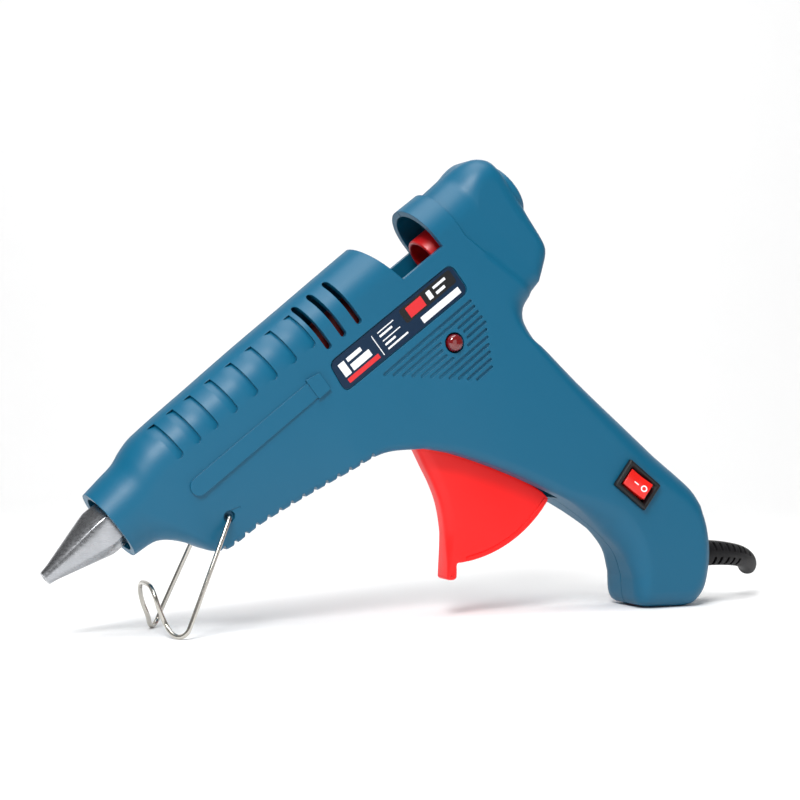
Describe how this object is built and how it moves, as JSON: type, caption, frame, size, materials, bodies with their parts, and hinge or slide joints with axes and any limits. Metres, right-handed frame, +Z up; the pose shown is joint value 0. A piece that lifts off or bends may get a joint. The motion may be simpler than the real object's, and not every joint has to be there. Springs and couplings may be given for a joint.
{
  "type": "hot glue gun",
  "caption": "Hot-melt glue gun: two-part housing, heated nozzle, trigger-driven stick feed, rocker switch, power lamp, folding wire stand and cord boot.",
  "frame": {"origin": "on the ground, under the middle of the object's box", "axes": "+Z up, -X towards the nozzle, -Y the side with the switch"},
  "size_m": [0.2722, 0.0346, 0.1543],
  "materials": {
    "housing_blue": "satin moulded nylon",
    "aluminium": "machined",
    "spring_steel": "nickel plated",
    "zinc_steel": "zinc plated",
    "brass": "stamped",
    "ceramic": null,
    "trigger_red": "semi-gloss moulded",
    "carriage_red": "satin moulded",
    "sleeve_red": "silicone rubber",
    "support_tan": null,
    "black_plastic": "satin",
    "rocker_red": "glossy",
    "lamp_red": "clear dark red",
    "boot_rubber": "soft PVC, satin",
    "lead_white": "silicone insulation",
    "plate_navy": "printed film"
  },
  "bodies": {
    "housing": {"housing_left": "housing_blue", "housing_right": "housing_blue", "nozzle": "aluminium", "melt_chamber": "aluminium", "chamber_support_front": "support_tan", "chamber_support_rear": "support_tan", "heater_ptc": "ceramic", "heater_clamp": "zinc_steel", "stick_sleeve": "sleeve_red", "sleeve_clamp": "zinc_steel", "trigger_pin": "zinc_steel", "switch_body": "black_plastic", "switch_terminal_1": "brass", "switch_terminal_2": "brass", "lamp_lens": "lamp_red", "lamp_holder": "black_plastic", "strain_relief": "boot_rubber", "cord_clamp": "black_plastic", "clamp_screw_1": "zinc_steel", "clamp_screw_2": "zinc_steel", "lead_live": "lead_white", "lead_neutral": "lead_white", "name_plate": "plate_navy", "housing_screw_1": "zinc_steel", "housing_screw_2": "zinc_steel", "housing_screw_3": "zinc_steel", "housing_screw_4": "zinc_steel", "housing_screw_5": "zinc_steel", "housing_screw_6": "zinc_steel"},
    "trigger": {"trigger": "trigger_red", "link_front_pin": "zinc_steel", "trigger_spring": "spring_steel"},
    "feed_link": {"feed_link_left": "zinc_steel", "feed_link_right": "zinc_steel"},
    "carriage": {"feed_carriage": "carriage_red", "claw_pin": "zinc_steel"},
    "claw": {"gripper_claw": "zinc_steel", "link_rear_pin": "zinc_steel"},
    "stand": {"stand_wire": "spring_steel"},
    "rocker": {"switch_rocker": "rocker_red"}
  },
  "joints": [
    {"name": "trigger_pull", "type": "hinge", "parent": "housing", "child": "trigger", "pos_m": [-0.0007, 0, 0.0646], "axis": [0, -1, 0], "range_deg": [0, 20], "stiffness_Nm_per_rad": 0.35, "springref_deg": -17.19},
    {"name": "link_swing", "type": "hinge", "parent": "trigger", "child": "feed_link", "pos_m": [-0.0135, 0, 0.08834], "axis": [0, -1, 0], "range_deg": [-20, 0]},
    {"name": "feed_slide", "type": "slide", "parent": "housing", "child": "carriage", "axis": [-0.7837, 0, -0.6211], "range_m": [0, 0.0086]},
    {"name": "claw_tilt", "type": "hinge", "parent": "carriage", "child": "claw", "pos_m": [0.00744, 0, 0.11681], "axis": [0, -1, 0], "range_deg": [-6, 0]},
    {"name": "stand_fold", "type": "hinge", "parent": "housing", "child": "stand", "pos_m": [-0.0796, 0, 0.0369], "axis": [0, -1, 0], "range_deg": [0, 125]},
    {"name": "rocker_tilt", "type": "hinge", "parent": "housing", "child": "rocker", "pos_m": [0.0682, -0.0118, 0.0437], "axis": [0.6088, 0, 0.7934], "range_deg": [0, 20]}
  ],
  "couplings": [
    {"joint": "link_swing", "follows": "trigger_pull", "ratio": -1},
    {"joint": "feed_slide", "follows": "trigger_pull", "m_per_rad": 0.024637},
    {"joint": "claw_tilt", "follows": "trigger_pull", "ratio": -0.3}
  ]
}
